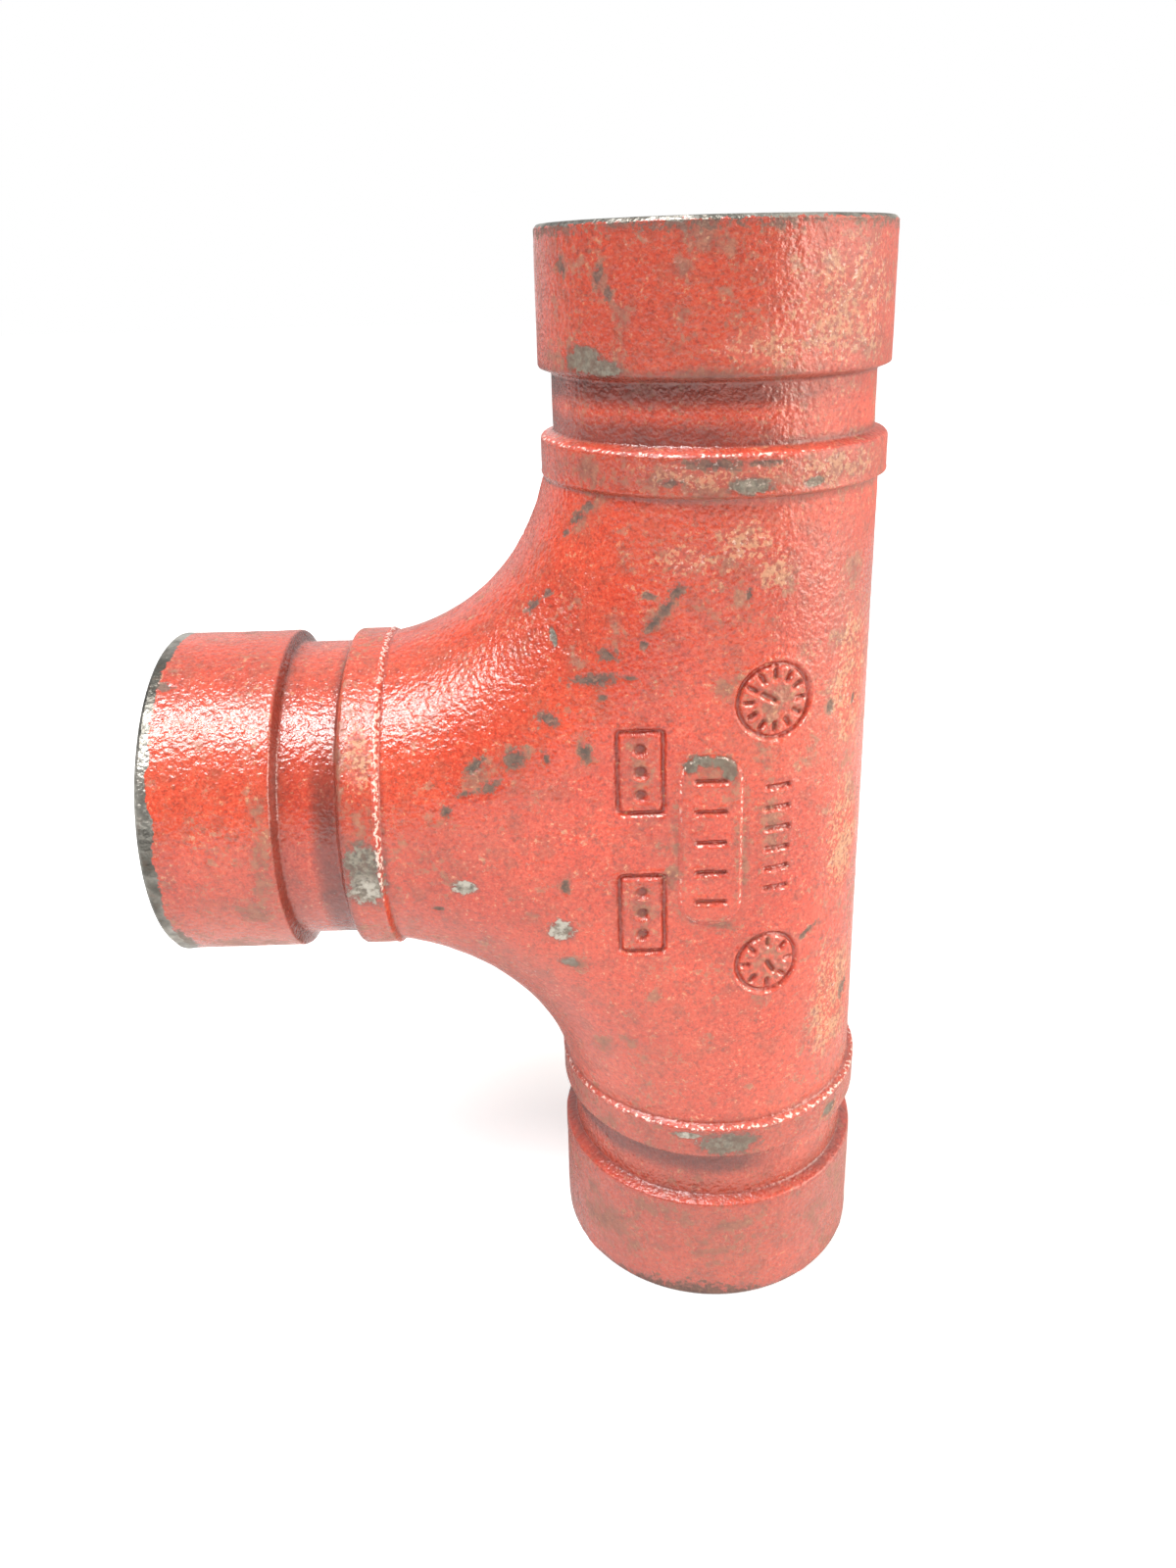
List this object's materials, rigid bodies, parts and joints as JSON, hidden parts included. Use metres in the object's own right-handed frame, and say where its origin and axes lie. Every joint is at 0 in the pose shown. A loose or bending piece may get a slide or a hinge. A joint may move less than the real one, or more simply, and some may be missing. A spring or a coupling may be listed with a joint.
{
  "type": "grooved tee",
  "caption": "Cast iron pipe tee with grooved ends: a straight run and a side branch joined by swept crotches, painted red for sprinkler pipe.",
  "frame": {"origin": "where the axis of the run meets the axis of the branch, in the middle of the waterway", "axes": "+Z along the run, up as it stands on its lower end; the branch points along -X; +Y is the back in the picture"},
  "size_m": [0.0909, 0.0422, 0.1396],
  "materials": {
    "painted_iron": "glossy red paint over rough cast iron, chipped"
  },
  "bodies": {
    "root": {"tee_body": "painted_iron"}
  },
  "joints": []
}
